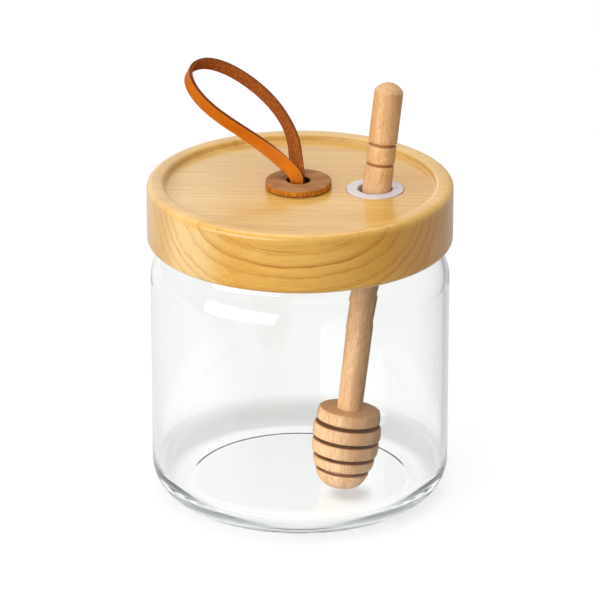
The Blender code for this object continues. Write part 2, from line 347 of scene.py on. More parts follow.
lidSize = {
    "radius": 52.5 * mm,
    "bottom": 92.0 * mm,
    "top": 112.9 * mm,
    "topRound": 2.0 * mm,
    "bottomRound": 1.7 * mm,
    "trayRadius": 46.3 * mm,
    "tray": 110.7 * mm,
    "trayLead": 1.25 * mm,
    "traySlope": 0.2 * mm,
    "trayEdge": 1.0 * mm,
    "socketRadius": 47.0 * mm,
    "socketEdge": 0.5 * mm,
    "ceiling": 102.5 * mm,
    "ringPlace": (25.6 * mm, -1.9 * mm),
    "ringSeat": 9.92 * mm,
    "ringLip": 0.15 * mm,
    "ringSink": 0.6 * mm,
    "ringHole": 7.7 * mm,
    "strapPlace": (-0.5 * mm, 0.1 * mm),
    "strapHole": 4.0 * mm,
    "columns": 256,
    "splitColumn": 53,
}

# pine: colours, then the growth rings and the marks in them; places are along the lid's fibres
pineLook = {
    "early": (0.72, 0.410, 0.084),
    "earlyPale": (0.79, 0.495, 0.140),
    "palest": (0.80, 0.535, 0.205),
    "late": (0.53, 0.205, 0.030),
    "streak": (0.42, 0.145, 0.024),
    # painted shade: the side darker and more saturated than the top, the left end darker, and the right
    # of the side darker
    "sideShade": (0.97, 0.88, 0.68),
    "leftEndShade": (0.85, 0.83, 0.76),
    "rightSideShade": (0.95, 0.84, 0.74),
    "pith": (-63.0 * mm, 122.0 * mm),
    "turn": 3.7,
    "ringSpacing": 4.1 * mm,
    "spacingGrain": 110.0,
    "spacingChange": 2.6,
    "wander": 5.0 * mm,
    "wanderGrain": (16.0, 45.0, 45.0),
    "ripple": 1.5 * mm,
    "rippleGrain": (90.0, 300.0, 300.0),
    "weakest": 0.15,
    "strengthPower": 1.5,
    "bandRise": (0.30, 0.90),
    "bandFall": (1.0, 0.92),
    "bandShare": 0.52,
    "lineRise": (0.76, 0.91),
    "lineFall": (1.0, 0.93),
    "lineShare": 0.50,
    "fadeGrain": (26.0, 120.0, 120.0),
    "fadeRange": (0.36, 0.60),
    "core": (14.0 * mm, 24.0 * mm),
    "coreShare": 0.35,
    "hairGrain": 2300.0,
    "hairRange": (0.50, 0.66),
    "hairBase": 0.35,
    "hairShare": 0.55,
    "brokenGrain": (75.0, 420.0, 420.0),
    "brokenRange": (0.42, 0.62),
    "dashGrain": (110.0, 1900.0, 1900.0),
    "dashRange": (0.62, 0.72),
    "dashLate": (0.08, 0.5),
    "dashShare": 0.4,
    "broadGrain": (9.0, 70.0, 70.0),
    "broadRange": (0.35, 0.7),
    "fibreGrain": (55.0, 1500.0, 1500.0),
    "fibreRange": (0.25, 0.75),
    "fibreShade": 0.55,
    "fibreShare": 0.30,
    "fibreDepth": 0.02 * mm,
    "topHeight": (109.5 * mm, 111.5 * mm),
    "topShare": 0.50,
    "paleStart": (-22.0 * mm, -36.0 * mm),
    "paleEnd": (-51.0 * mm, -43.0 * mm),
    "endPlace": (28.0 * mm, 50.0 * mm),
    "endFade": 0.65,
    # where the painted shade at the left end and on the right of the side comes in
    "leftEndShadePlace": (-42.0 * mm, -50.0 * mm),
    "rightSideShadePlace": (20.0 * mm, 46.0 * mm),
    "gloss": 0.26,
    "fibreGloss": 0.10,
    "oil": 0.5,
    "oilGloss": 0.17,
}


def pineRings(board, spot):
    # growth rings are shells round a line along the lid: each darkens slowly and ends in a thin
    # line, and comes and goes along its length, and fine broken hairs run beside it
    look = pineLook
    across, up = board.split(spot)[1:]
    wander = board.noise(spot, look["wanderGrain"]) - 0.5
    ripple = board.noise(spot, look["rippleGrain"], 3.0, 0.6) - 0.5
    radius = (across * across + up * up) ** 0.5
    radius = radius + wander * look["wander"] + ripple * look["ripple"]
    spacing = board.lineNoise(radius, look["spacingGrain"]) * look["spacingChange"]
    phase = radius / look["ringSpacing"] + spacing
    ring = phase.floor()
    share = phase - ring
    strength = board.add("TexWhiteNoise", {"noise_dimensions": "1D"}, {"W": ring})
    strength = between(look["weakest"], 1.0, strength ** look["strengthPower"])
    fading = board.step(board.noise(spot, look["fadeGrain"]), *look["fadeRange"])
    band = board.step(share, *look["bandRise"]) * board.step(share, *look["bandFall"])
    line = board.step(share, *look["lineRise"]) * board.step(share, *look["lineFall"])
    late = band * look["bandShare"] + line * look["lineShare"] * fading
    late = late * strength * board.step(radius, *look["core"], look["coreShare"], 1.0)
    hairs = board.step(board.lineNoise(radius, look["hairGrain"], 2.0), *look["hairRange"])
    broken = board.step(board.noise(spot, look["brokenGrain"]), *look["brokenRange"])
    hairs = hairs * broken * (look["hairBase"] + band)
    return late + hairs * look["hairShare"] * (1.0 - late)


def pineMaterial():
    # pale early wood, darker late wood with short dashes in it, fibres, and painted shade: the side
    # darker and more saturated than the top, and darker still at the left end and on the right of the
    # side
    look = pineLook
    board = Board("oiledPine")
    place = board.place()
    turn = (0.0, 0.0, -math.radians(look["turn"]))
    pith = {"Vector": place, "Location": (0.0, *look["pith"]), "Rotation": turn}
    spot = board.add("Mapping", {"vector_type": "TEXTURE"}, pith)
    along = board.split(spot)[0]
    top = board.step(board.split(place)[2], *look["topHeight"])
    side = 1.0 - top
    late = pineRings(board, spot) * between(1.0, look["topShare"], top)
    fibre = board.noise(spot, look["fibreGrain"], 3.0, 0.6)
    dashes = board.step(board.noise(spot, look["dashGrain"]), *look["dashRange"])
    dashes = dashes * board.step(late, *look["dashLate"])
    broad = board.noise(spot, look["broadGrain"])
    paleSide = board.step(along, *look["paleStart"]) * board.step(along, *look["paleEnd"])
    wood = board.mix(board.step(broad, *look["broadRange"]), look["early"], look["earlyPale"])
    wood = board.mix(paleSide * side, wood, look["palest"])
    wood = board.mix(late, wood, look["late"])
    wood = board.mix(dashes * look["dashShare"], wood, look["streak"])
    ends = board.step(abs(along), *look["endPlace"]) * look["endFade"]
    shade = board.grey(board.step(fibre, *look["fibreRange"], look["fibreShade"], 1.0))
    wood = board.mix((1.0 - ends) * look["fibreShare"], wood, shade, "MULTIPLY")
    # painted shade: the side darker and more saturated than the top
    wood = board.mix(side * (1.0 - paleSide), wood, look["sideShade"], "MULTIPLY")
    # painted shade on the right of the side
    right = board.step(along, *look["rightSideShadePlace"])
    wood = board.mix(side * right, wood, look["rightSideShade"], "MULTIPLY")
    # painted shade at the left end, on the top and the side
    left = board.step(along, *look["leftEndShadePlace"])
    wood = board.mix(left, wood, look["leftEndShade"], "MULTIPLY")
    sockets = {
        "Base Color": wood,
        "Roughness": look["gloss"] + fibre * look["fibreGloss"],
        "Coat Weight": look["oil"],
        "Coat Roughness": look["oilGloss"],
        "Normal": board.bump(fibre, look["fibreDepth"]),
    }
    return board.finish(sockets)


def holeCircle(hole, radius, outline):
    # points of a circle round a hole, each in the direction of one point of the outline
    angles = np.arctan2(outline[:, 1] - hole[1], outline[:, 0] - hole[0])
    return hole + radius * np.stack([np.cos(angles), np.sin(angles)], axis=1)


def fanGrid(hole, radius, outline, height, rows=5):
    # a flat sheet between a round hole and an outline: point = (1-v) hole's edge + v outline
    v = np.linspace(0.0, 1.0, rows)[:, None, None]
    flat = between(holeCircle(hole, radius, outline), outline, v)
    return np.concatenate([flat, np.full((*flat.shape[:2], 1), height)], axis=2)


def holeGrid(hole, outline, loops):
    # the wall of a hole: one ring of points for each (radius, height) of its loops
    circles = [holeCircle(hole, radius, outline) for radius, height in loops]
    levels = [np.full((len(outline), 1), height) for radius, height in loops]
    return np.concatenate([np.stack(circles), np.stack(levels)], axis=2)


def splitDisc(radius, columns, splitColumn, inner=72):
    # a disc's rim cut in two by a straight line: the outlines of its right and its left part
    angles = 2.0 * np.pi * np.arange(columns) / columns
    rim = np.stack([radius * np.cos(angles), radius * np.sin(angles)], axis=1)
    share = np.linspace(0.0, 1.0, inner + 1)[1:-1, None]
    cut = between(rim[splitColumn], rim[-splitColumn], share)
    right = np.concatenate([rim[-splitColumn:], rim[: splitColumn + 1], cut])
    left = np.concatenate([rim[splitColumn : columns - splitColumn + 1], cut[::-1]])
    return right, left


def lidRim():
    # from the tray over the lid's top edge, down its side and into the socket
    size = lidSize
    wide, top, low = size["radius"], size["top"], size["bottom"]
    trayRadius, socketRadius = size["trayRadius"], size["socketRadius"]
    topRound, lowRound = size["topRound"], size["bottomRound"]
    tray = [(trayRadius - size["trayLead"], size["tray"]), (trayRadius, size["tray"])]
    tray += [(trayRadius + size["traySlope"], top), (wide - topRound, top)]
    socket = [(wide - lowRound, low), (socketRadius, low), (socketRadius, size["ceiling"])]
    return joinLines(
        roundLine(np.array(tray), size["trayEdge"], 5),
        arcLine((wide - topRound, top - topRound), topRound, 90.0, 0.0, 10),
        arcLine((wide - lowRound, low + lowRound), lowRound, 0.0, -90.0, 8),
        roundLine(np.array(socket), size["socketEdge"], 3),
    )


def makeLid():
    size = lidSize
    rim = lidRim()
    topRight, topLeft = splitDisc(rim[0, 0], size["columns"], size["splitColumn"])
    lowRight, lowLeft = splitDisc(rim[-1, 0], size["columns"], size["splitColumn"])
    seat = size["tray"] - size["ringSink"]
    ringLoops = [
        (size["ringSeat"] + size["ringLip"], size["tray"]),
        (size["ringSeat"], size["tray"] - size["ringLip"]),
        (size["ringSeat"], seat),
        (size["ringHole"], seat),
        (size["ringHole"], size["ceiling"]),
    ]
    strapLoops = [(size["strapHole"], size["tray"]), (size["strapHole"], size["ceiling"])]
    holes = (
        (size["ringPlace"], topRight, lowRight, ringLoops),
        (size["strapPlace"], topLeft, lowLeft, strapLoops),
    )
    patches = [patch(turnGrid(rim, size["columns"]))]
    for place, top, low, loops in holes:
        patches.append(patch(fanGrid(place, loops[0][0], top, size["tray"])))
        patches.append(patch(fanGrid(place, loops[-1][0], low, size["ceiling"])))
        patches.append(patch(holeGrid(place, top, loops)))
    makePiece("lidPine", patches, pineMaterial(), "lid")


makeLid()
print("lid made")


ringSize = {
    "place": lidSize["ringPlace"],
    "top": 111.0 * mm,
    "bottom": 110.4 * mm,
    "flangeRadius": 9.8 * mm,
    "sleeveRadius": 7.4 * mm,
    "boreRadius": 6.0 * mm,
    "sleeveBottom": lidSize["ceiling"],
    "edge": 0.25 * mm,
    "columns": 144,
}

siliconeLook = {
    "colour": (0.70, 0.645, 0.655),
    "shade": (0.64, 0.59, 0.60),
    "cloudGrain": 160.0,
    "cloudRange": (0.3, 0.7),
    "mouldGrain": 4200.0,
    "mouldDepth": 0.008 * mm,
    "gloss": 0.36,
    "mouldGloss": 0.12,
}


def siliconeMaterial():
    # satin moulded silicone with a faint cloudiness and the fine texture of its mould
    look = siliconeLook
    board = Board("satinSilicone")
    spot = board.place()
    cloud = board.step(board.noise(spot, look["cloudGrain"]), *look["cloudRange"])
    mould = board.noise(spot, look["mouldGrain"], 1.0)
    sockets = {
        "Base Color": board.mix(cloud, look["colour"], look["shade"]),
        "Roughness": look["gloss"] + mould * look["mouldGloss"],
        "Normal": board.bump(mould, look["mouldDepth"]),
    }
    return board.finish(sockets)


def makeRing():
    size = ringSize
    bore, flange, sleeve = size["boreRadius"], size["flangeRadius"], size["sleeveRadius"]
    top, under, low = size["top"], size["bottom"], size["sleeveBottom"]
    middle = (bore, 0.5 * (top + low))
    corners = [middle, (bore, top), (flange, top), (flange, under)]
    corners += [(sleeve, under), (sleeve, low), (bore, low), middle]
    profile = roundLine(np.array(corners), size["edge"], 4)[:-1]
    grid = turnGrid(profile, size["columns"]) + np.array([*size["place"], 0.0])
    patches = [patch(grid, wrapRows=True)]
    makePiece("softRing", patches, siliconeMaterial(), "spoon_grommet")


makeRing()
print("soft ring made")


dipperSize = {
    "length": 144.6 * mm,
    "tipPlace": (13.9 * mm, -12.2 * mm),
    "lidPlace": (26.3 * mm, -1.8 * mm),
    "lidHeight": lidSize["tray"],
    "floor": jarSize["floorHeight"],
    "play": 0.3 * mm,
    "handleRadius": 4.95 * mm,
    "neckRadius": 4.3 * mm,
    "taperEnd": 108.0 * mm,
    "domeHeight": 3.0 * mm,
    "grooveWidth": 1.2 * mm,
    "grooveDepth": 0.8 * mm,
    "grooveChip": 0.16 * mm,
    "grooves": (123.3 * mm, 116.3 * mm),
    "headLength": 28.4 * mm,
    "rings": (
        (28.40, 10.65, 24.40, 10.95),
        (22.85, 11.50, 18.50, 11.75),
        (16.95, 11.50, 12.60, 11.20),
        (11.05, 10.65, 7.60, 9.95),
    ),
    "bowl": ((6.05, 9.20), (4.30, 8.70), (2.70, 7.85), (1.35, 6.65), (0.45, 5.20), (0.00, 3.60)),
    "ringBulge": 0.14 * mm,
    "ringRound": 0.50 * mm,
    "headEdge": 0.75 * mm,
    "slotRadius": 7.4 * mm,
    "bowlRound": 0.9 * mm,
    "cornerRound": 0.12 * mm,
    # how far the painted shade of each slot reaches down onto the ring below it
    "recessShadeReach": 0.6 * mm,
    "meshStep": 1.2 * mm,
    "columns": 160,
}

beechLook = {
    "pale": (0.84, 0.540, 0.295),
    "warm": (0.62, 0.340, 0.155),
    "fleck": (0.38, 0.165, 0.058),
    "endGrain": (0.70, 0.375, 0.165),
    # painted shade: the part above the lid darker and warmer
    "openShade": (0.92, 0.88, 0.76),
    "domePale": (0.76, 0.49, 0.27),
    "domeFleck": (0.50, 0.225, 0.105),
    # painted shade in the slots and grooves
    "cut": (0.33, 0.115, 0.030),
    "broadGrain": (240.0, 240.0, 22.0),
    "broadRange": (0.3, 0.72),
    "fibreGrain": (1500.0, 1500.0, 300.0),
    "fibreRange": (0.44, 0.60),
    "fibreShare": 0.65,
    "fibreDepth": 0.08 * mm,
    "fleckGrain": (2600.0, 2600.0, 420.0),
    "fleckRange": (0.62, 0.72),
    "fleckShare": 0.5,
    "fleckDepth": 0.4,
    "domeGrain": 2300.0,
    "domeRange": (0.45, 0.62),
    "domeFleckShare": 0.8,
    "domeShare": 0.85,
    "domeEdge": 0.1,
    "endShare": 0.8,
    "openShadeHeight": (108.0, 112.0),
    "recessShadeDepth": (0.15, 0.75),
    "recessShadeShare": 0.85,
    "gloss": 0.5,
    "fibreGloss": 0.15,
}


def dipperLean():
    # the way that the dipper's axis points, from its tip to where it passes the lid
    size = dipperSize
    tip, lid = size["tipPlace"], size["lidPlace"]
    rise = size["lidHeight"] - size["floor"]
    return Vector((lid[0] - tip[0], lid[1] - tip[1], rise)).normalized()


def headOutline(height):
    # the head without its slots: straight from each (height, radius) of its rings to the next
    rings = np.array(dipperSize["rings"]).reshape(-1, 2)
    points = np.concatenate([rings, np.array(dipperSize["bowl"])])[::-1] * mm
    return np.interp(height, points[:, 0], points[:, 1])


def handleOutline(height):
    # even widening from the head to the lid
    size = dipperSize
    share = (height - size["headLength"]) / (size["taperEnd"] - size["headLength"])
    return between(size["neckRadius"], size["handleRadius"], np.clip(share, 0.0, 1.0))


def slotHeights():
    # each slot of the head: the low edge of the ring above it and the top of what is below it
    size = dipperSize
    tops = [ring[0] for ring in size["rings"][1:]] + [size["bowl"][0][0]]
    return [(ring[2] * mm, top * mm) for ring, top in zip(size["rings"], tops)]


def headParts():
    # the head from its top edge down to the tip: rings with slots between them, then the bowl
    size = dipperSize
    slot = size["slotRadius"]
    t = np.linspace(0.0, 1.0, 9)
    parts = []
    for index, (high, upper, low, lower) in enumerate(np.array(size["rings"]) * mm):
        # a ring's face: straight from its upper to its lower radius, plus bulge times 4t(1-t)
        edge = size["ringRound"] if index else size["headEdge"]
        parts.append(arcLine((upper - edge, high - edge), edge, 90.0, 0.0, 5))
        face = between(upper, lower, t) + size["ringBulge"] * 4.0 * t * (1.0 - t)
        parts.append(np.stack([face, between(high - edge, low, t)], axis=1))
        parts.append([(slot, level) for level in slotHeights()[index]])
    bowl = np.array(size["bowl"])[:, ::-1] * mm
    edge = size["ringRound"]
    parts.append(arcLine((bowl[0, 0] - edge, bowl[0, 1] - edge), edge, 90.0, 0.0, 5))
    parts.append(roundLine(bowl[1:], size["bowlRound"], 4))
    return parts + [[(0.0, 0.0)]]


def dipperProfile():
    # the turned line (radius, height) from the dome to the tip, and its depth below the outline
    size = dipperSize
    wide = size["handleRadius"]
    dome = size["domeHeight"]
    ball = (wide**2 + dome**2) / (2.0 * dome)
    angle = math.degrees(math.asin(wide / ball))
    parts = [arcLine((0.0, size["length"] - ball), ball, 90.0, 90.0 - angle, 14)]
    parts.append([(wide, size["length"] - dome - 0.3 * mm)])
    half = 0.5 * size["grooveWidth"]
    for height in size["grooves"]:
        outer = float(handleOutline(height))
        deep = outer - size["grooveDepth"]
        parts.append([(outer, height + half), (deep, height + 0.6 * half)])
        parts.append([(deep, height - 0.6 * half), (outer, height - half)])
    parts.append([(wide, size["taperEnd"]), (size["neckRadius"], size["headLength"])])
    line = roundLine(joinLines(*parts, *headParts()), size["cornerRound"], 3)
    line = refineLine(line, size["meshStep"])
    height = line[:, 1]
    near = 0.01 * mm
    onHandle = height > size["headLength"] + near
    outline = np.where(onHandle, handleOutline(height), headOutline(height))
    # the slots and grooves, and a strip below each slot: there the depth carries the painted shade
    shadedRecesses = [
        (height < high + near) & (height > low - size["recessShadeReach"]) for high, low in slotHeights()
    ]
    shadedRecesses += [np.abs(height - middle) < half for middle in size["grooves"]]
    return line, np.where(np.any(shadedRecesses, axis=0), outline - line[:, 0], 0.0)


def chipGrooves(grid, profile):
    # the grooves' upper lips are torn here and there: the radius loses chip times the part of
    # sin 5a + 0.7 sin 12a above 0.4, fading as e^-(distance from the lip / 0.4 mm)^2
    size = dipperSize
    angles = np.linspace(0.0, 2.0 * np.pi, grid.shape[1], endpoint=False)[None, :]
    loss = np.zeros(grid.shape[:2])
    for index, height in enumerate(size["grooves"]):
        lip = height + 0.5 * size["grooveWidth"]
        near = np.exp(-(((profile[:, 1:2] - lip) / (0.4 * mm)) ** 2))
        wave = np.sin(5.0 * angles + 2.1 * index) + 0.7 * np.sin(12.0 * angles + 1.3 * index)
        loss += size["grooveChip"] * near * np.clip(wave - 0.4, 0.0, 1.0)
    share = 1.0 - loss / np.maximum(profile[:, :1], 0.001 * mm)
    return grid * np.stack([share, share, np.ones_like(share)], axis=2)


def beechMaterial(place, turn):
    # fine fibres along the dipper's axis, short darker flecks, painted shade in the slots and grooves,
    # and a darker, warmer painted shade on the part above the lid; the heights and depths of the turning
    # mark are in millimetres
    look = beechLook
    board = Board("turnedBeech")
    stand = {"Vector": board.place(), "Location": tuple(place), "Rotation": tuple(turn.to_euler())}
    spot = board.add("Mapping", {"vector_type": "TEXTURE"}, stand)
    depth, flat, height = board.split(board.mark("turning"))
    fibre = board.noise(spot, look["fibreGrain"], 3.0, 0.7, 0.6)
    fibres = board.step(fibre, *look["fibreRange"]) * look["fibreShare"]
    flecks = board.step(board.noise(spot, look["fleckGrain"], 1.0), *look["fleckRange"])
    broad = board.step(board.noise(spot, look["broadGrain"]), *look["broadRange"])
    wood = board.mix(fibres, board.mix(broad, look["pale"], look["warm"]), look["warm"])
    wood = board.mix(flecks * look["fleckShare"], wood, look["fleck"])
    ends = board.step(board.noise(spot, look["domeGrain"]), *look["domeRange"])
    ends = board.mix(ends * look["domeFleckShare"], look["domePale"], look["domeFleck"])
    edge = (dipperSize["length"] - dipperSize["domeHeight"]) / mm
    dome = board.step(height, edge - look["domeEdge"], edge + look["domeEdge"])
    wood = board.mix(dome * look["domeShare"], wood, ends)
    wood = board.mix(flat * look["endShare"], wood, look["endGrain"])
    # painted shade: from about where it passes the lid, the wood is made darker and warmer than in the
    # jar
    wood = board.mix(board.step(height, *look["openShadeHeight"]), wood, look["openShade"], "MULTIPLY")
    # painted shade: the slots and grooves, and the top of each ring just below a slot, are darkened by
    # their depth
    wood = board.mix(board.step(depth, *look["recessShadeDepth"]) * look["recessShadeShare"], wood, look["cut"])
    sockets = {
        "Base Color": wood,
        "Roughness": look["gloss"] + fibre * look["fibreGloss"],
        "Normal": board.bump(fibre - flecks * look["fleckDepth"], look["fibreDepth"]),
    }
    return board.finish(sockets)


def makeDipper():
    size = dipperSize
    profile, depth = dipperProfile()
    radius, height = profile[:, 0], profile[:, 1]
    lean = dipperLean()
    lowest = float(np.min(height * lean.z - radius * math.sqrt(1.0 - lean.z**2)))
    place = Vector((*size["tipPlace"], size["floor"] + size["play"] - lowest))
    turn = Vector((0.0, 0.0, 1.0)).rotation_difference(lean)
    grid = chipGrooves(turnGrid(profile, size["columns"]), profile)
    grid = grid @ np.array(turn.to_matrix()).T + np.array(place)
    # flat is 1 where the surface lies square to the axis, apart from the dome, and otherwise 0
    slope = np.gradient(radius), np.gradient(height)
    flat = np.clip(np.abs(slope[0]) / (np.hypot(*slope) + 1e-9) * 3.0 - 2.0, 0.0, 1.0)
    flat = np.where(height > size["length"] - size["domeHeight"], 0.0, flat)
    marks = np.stack([np.maximum(depth, 0.0) / mm, flat, height / mm], axis=1)
    marks = {"turning": np.broadcast_to(marks[:, None], grid.shape)}
    surface = beechMaterial(place, turn)
    makePiece(
        "dipperBeech", [patch(grid)], surface, "honey_dipper", sharp=32.0, marks=marks
    )


makeDipper()
print("dipper made")


washerSize = {
    "place": lidSize["strapPlace"],
    "radius": 11.3 * mm,
    "hole": lidSize["strapHole"],
    "bottom": 111.0 * mm,
    "top": 113.3 * mm,
    "edge": 0.5 * mm,
    "meshStep": 0.8 * mm,
    "columns": 200,
}

# the loop's points are millimetres along and aside from the washer: the second one and each
# third one after it lie on the strap, and the others are the handles of its curves
strapSize = {
    "place": lidSize["strapPlace"],
    "foot": washerSize["top"],
    "ceiling": lidSize["ceiling"],
    "width": 4.6 * mm,
    "thick": 1.4 * mm,
    "edge": 0.3 * mm,
    "legOffset": 1.3 * mm,
    "legShift": 0.4 * mm,
    "frontRise": 3.0 * mm,
    "backRise": 4.0 * mm,
    "holeSide": (0.99, -0.12, 0.0),
    "loopSide": (0.40, -0.32, 0.86),
    "loopRise": (-0.59, 0.62, 0.51),
    "loop": (
        (12.3, 0.7),
        (19.3, 3.3), (27.3, 6.3), (34.3, 11.7),
        (43.8, 11.7), (52.2, 11.7), (57.9, 7.2),
        (57.7, -0.5), (57.4, -9.8), (44.5, -15.9),
        (33.8, -15.9), (24.8, -15.9), (17.6, -12.6),
        (11.6, -8.2), (7.3, -5.1),
    ),
    "steps": (12, 36, 40, 40, 48, 36, 32, 12),
    "turnHeight": 14.0 * mm,
    "meshStep": 0.45 * mm,
}

leatherLook = {
    "grain": (0.540, 0.138, 0.0045),
    "grainDeep": (0.430, 0.092, 0.0030),
    "flesh": (0.265, 0.060, 0.009),
    "fleshPale": (0.450, 0.135, 0.028),
    # painted shade on the edges
    "edge": (0.130, 0.030, 0.006),
    # painted highlight along the grain side's edges
    "edgeHighlight": (0.850, 0.380, 0.110),
    "broadGrain": (0.25, 0.25, 0.09),
    "broadRange": (0.3, 0.75),
    "creaseGrain": (1.2, 1.2, 3.4),
    "creaseRange": (0.55, 0.8),
    "creaseShare": 0.35,
    "mottleGrain": (1.6, 1.6, 0.88),
    "mottleRange": (0.42, 0.68),
    "insideRange": (-0.15, 0.55),
    "edgeHighlightRange": (0.35, 0.65),
    "edgeHighlightInset": (0.42, 0.30),
    "edgeHighlightShare": 0.5,
    "edgeInset": (0.27, 0.14),
    "edgeShadeShare": 0.92,
    "edgeShadeFade": 0.5,
    "poreGrain": 3200.0,
    "poreDepth": 0.05 * mm,
    "poreHeight": 0.25,
    "fleshHeight": 0.3,
    "gloss": 0.42,
    "fleshGloss": 0.35,
    "poreGloss": 0.08,
    "shine": 0.06,
}

washerLook = {
    "flesh": (0.33, 0.140, 0.046),
    "fleshPale": (0.43, 0.200, 0.074),
    "fleshDark": (0.17, 0.060, 0.020),
    # painted shade in the hole
    "hole": (0.060, 0.018, 0.008),
    "edge": (0.60, 0.225, 0.012),
    "edgeDark": (0.33, 0.090, 0.005),
    "cloudGrain": (140.0, 260.0, 140.0),
    "cloudRange": (0.35, 0.68),
    "napGrain": 1500.0,
    "napRange": (0.5, 0.75),
    "napShare": 0.4,
    "napDepth": 0.06 * mm,
    "hatchGrain": (3400.0, 3400.0, 300.0),
    "hatchRange": (0.40, 0.62),
    "edgeInset": (0.55 * mm, 0.15 * mm),
    "edgeDrop": (0.25 * mm, 0.5 * mm),
    "holeShade": 0.2 * mm,
    "gloss": 0.7,
    "napGloss": 0.12,
    "shine": 0.2,
}


def unit(vector):
    return vector / np.linalg.norm(vector, axis=-1, keepdims=True)


def bezierLine(start, first, second, end, steps):
    # (1-t)^3 start + 3t(1-t)^2 first + 3t^2(1-t) second + t^3 end, without its last point
    t = np.linspace(0.0, 1.0, steps, endpoint=False)[:, None]
    line = start * (1 - t) ** 3 + first * 3 * t * (1 - t) ** 2
    return line + second * 3 * t**2 * (1 - t) + end * t**3


def strapLine():
    # the strap's middle line: up the front leg, round the loop and down the back leg
    size = strapSize
    foot = np.array([*size["place"], size["foot"]])
    up = np.array([0.0, 0.0, 1.0])
    holeSide = unit(np.array(size["holeSide"]))
    loopSide = unit(np.array(size["loopSide"]))
    rise = np.array(size["loopRise"])
    along = unit(rise - loopSide * (rise @ loopSide))
    aside = np.cross(loopSide, along)
    apart = np.cross(up, holeSide) * size["legOffset"]
    middle = foot - holeSide * size["legShift"]
    tops = middle - apart, middle + apart
    lows = [np.array([*top[:2], size["ceiling"]]) for top in tops]
    legs = [[between(low, top, share) for share in (0.0, 0.3, 0.7, 1.0)] for low, top in zip(lows, tops)]
    loop = [foot + along * length * mm + aside * side * mm for length, side in size["loop"]]
    front, back = tops[0] + up * size["frontRise"], tops[1] + up * size["backRise"]
    points = [*legs[0], front, *loop, back, *legs[1][::-1]]
    stretches = [
        bezierLine(*points[3 * index : 3 * index + 4], steps)
        for index, steps in enumerate(size["steps"])
    ]
    return np.concatenate([*stretches, points[-1][None]])


def strapGrid():
    # a flat section with soft corners carried along the line; its width turns from the hole's
    # way to the loop's, by a smooth step of the height above the washer
    size = strapSize
    line = strapLine()
    run = unit(np.gradient(line, axis=0))
    share = np.clip((line[:, 2] - size["foot"]) / size["turnHeight"], 0.0, 1.0)
    share = (share * share * (3.0 - 2.0 * share))[:, None]
    side = between(unit(np.array(size["holeSide"])), unit(np.array(size["loopSide"])), share)
    side = unit(side - run * np.sum(side * run, axis=1, keepdims=True))
    depth = np.cross(run, side)
    half, deep = 0.5 * size["width"], 0.5 * size["thick"]
    corners = [[half, -deep], [half, deep], [-half, deep], [-half, -deep]]
    corners = np.array([[0.0, -deep], *corners, [0.0, -deep]])
    section = refineLine(roundLine(corners, size["edge"], 4), size["meshStep"])[:-1]
    x, y = section[None, :, :1], section[None, :, 1:]
    grid = line[:, None] + side[:, None] * x + depth[:, None] * y
    length = np.concatenate([[0.0], np.cumsum(np.linalg.norm(np.diff(line, axis=0), axis=1))])
    places = (section[None, :, 0], section[None, :, 1], length[:, None])
    marks = [np.broadcast_to(place, grid.shape[:2]) / mm for place in places]
    return grid, np.stack(marks, axis=2)


def leatherMaterial():
    # smooth grain outside, fibrous flesh inside, edges painted dark brown as painted shade, and a
    # painted highlight along the grain side's edges; marks are millimetres across the strap, through it
    # and along it
    look = leatherLook
    board = Board("tanLeather")
    place = board.mark("strapPlace")
    side, through = board.split(place)[:2]
    deep = 0.5 * strapSize["thick"] / mm
    inset = 0.5 * strapSize["width"] / mm - abs(side)
    pores = board.noise(board.place(), look["poreGrain"])
    crease = board.step(board.noise(place, look["creaseGrain"], 3.0, 0.6), *look["creaseRange"])
    mottle = board.noise(place, look["mottleGrain"], 4.0, 0.7)
    broad = board.noise(place, look["broadGrain"])
    deeper = board.step(broad, *look["broadRange"])
    grain = board.mix(deeper, look["grain"], look["grainDeep"])
    grain = board.mix(crease * look["creaseShare"], grain, look["grainDeep"])
    paler = board.step(mottle, *look["mottleRange"])
    flesh = board.mix(paler, look["flesh"], look["fleshPale"])
    inside = board.step(through / deep, *look["insideRange"])
    # painted highlight: a pale line along the grain side's edges, broken up by the broad noise
    edgeHighlight = board.step(inset, *look["edgeHighlightInset"]) * board.step(broad, *look["edgeHighlightRange"])
    edgeHighlight = edgeHighlight * (1.0 - inside) * look["edgeHighlightShare"]
    leather = board.mix(edgeHighlight, board.mix(inside, grain, flesh), look["edgeHighlight"])
    # painted shade: the edges are painted dark brown, less so towards the flesh side
    rim = board.step(inset, *look["edgeInset"]) * (look["edgeShadeShare"] - inside * look["edgeShadeFade"])
    leather = board.mix(rim, leather, look["edge"])
    height = pores * (look["poreHeight"] + inside * look["fleshHeight"]) + mottle * inside
    sockets = {
        "Base Color": leather,
        "Roughness": look["gloss"] + inside * look["fleshGloss"] + pores * look["poreGloss"],
        "Specular IOR Level": look["shine"],
        "Normal": board.bump(height, look["poreDepth"]),
    }
    return board.finish(sockets)


def makeStrap():
    grid, marks = strapGrid()
    middle = grid.mean(axis=1, keepdims=True)
    ends = [np.broadcast_to(middle[index], grid[0].shape)[None] for index in (0, -1)]
    grid = np.concatenate([ends[0], grid, ends[1]])
    marks = {"strapPlace": np.concatenate([marks[:1], marks, marks[-1:]])}
    surface = leatherMaterial()
    makePiece(
        "strapLeather", [patch(grid)], surface, "strap_loop", sharp=50.0, marks=marks
    )


